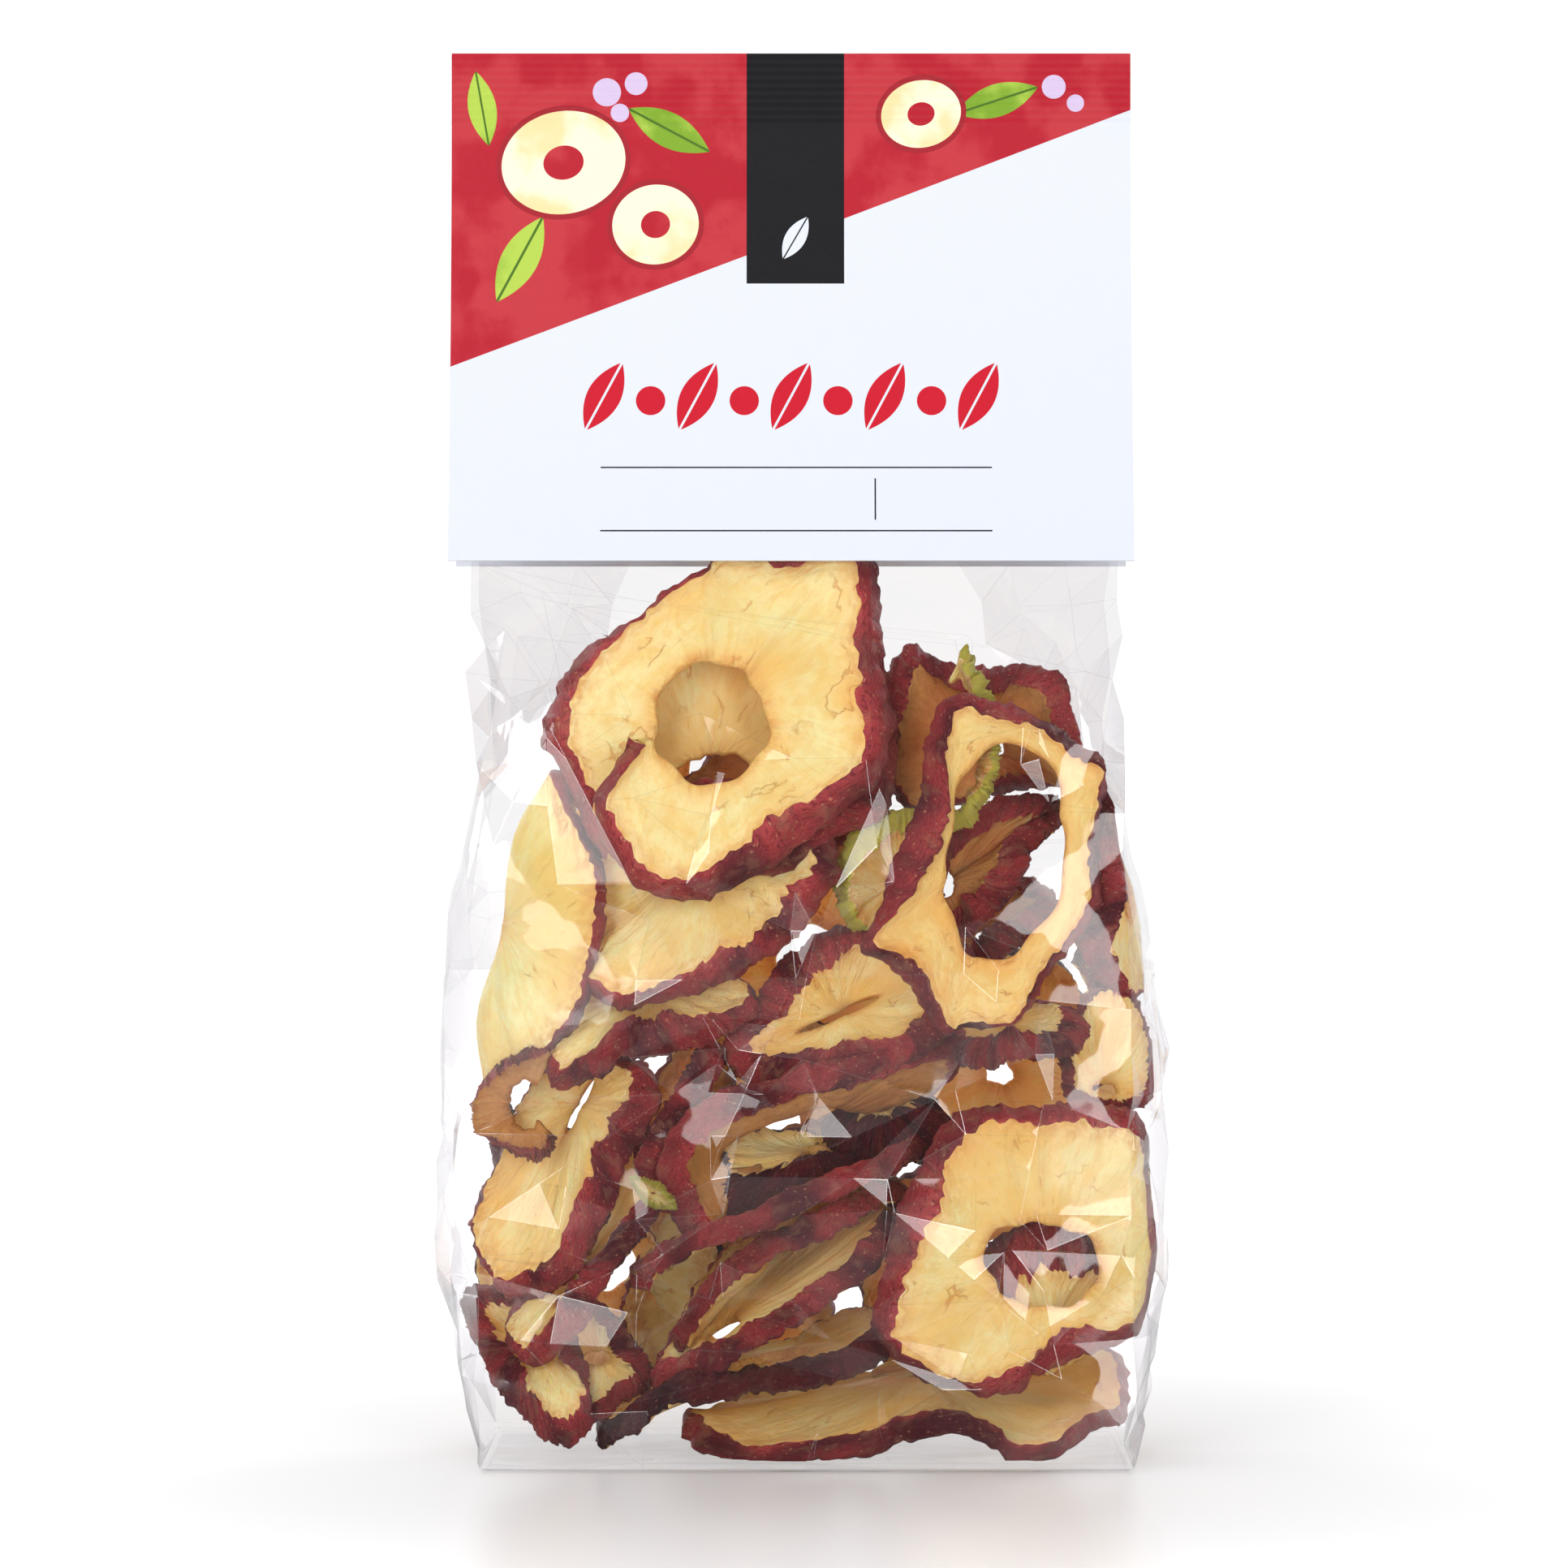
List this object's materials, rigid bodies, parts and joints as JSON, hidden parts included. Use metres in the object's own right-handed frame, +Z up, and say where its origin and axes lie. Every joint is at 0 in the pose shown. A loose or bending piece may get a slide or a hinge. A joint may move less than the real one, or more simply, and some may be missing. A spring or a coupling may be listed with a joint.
{
  "type": "clear bag of dried apple rings",
  "caption": "Clear block-bottom film bag, filled with dried apple rings and closed by a folded header card; stands on its flat base.",
  "frame": {"origin": "on the floor, under the middle of the bag", "axes": "+Z up, -Y the front that the picture shows, +X to the viewer's right"},
  "size_m": [0.1356, 0.0678, 0.2581],
  "materials": {
    "clear_film": "clear glossy film over cream and dark red dried apple",
    "card_board": "smooth printed board, red, white and black",
    "dried_apple": "leathery cream flesh with a dark red skin edge, for the rings that show through the film"
  },
  "bodies": {
    "root": {"bag": "clear_film", "header_card": "card_board"}
  },
  "joints": []
}
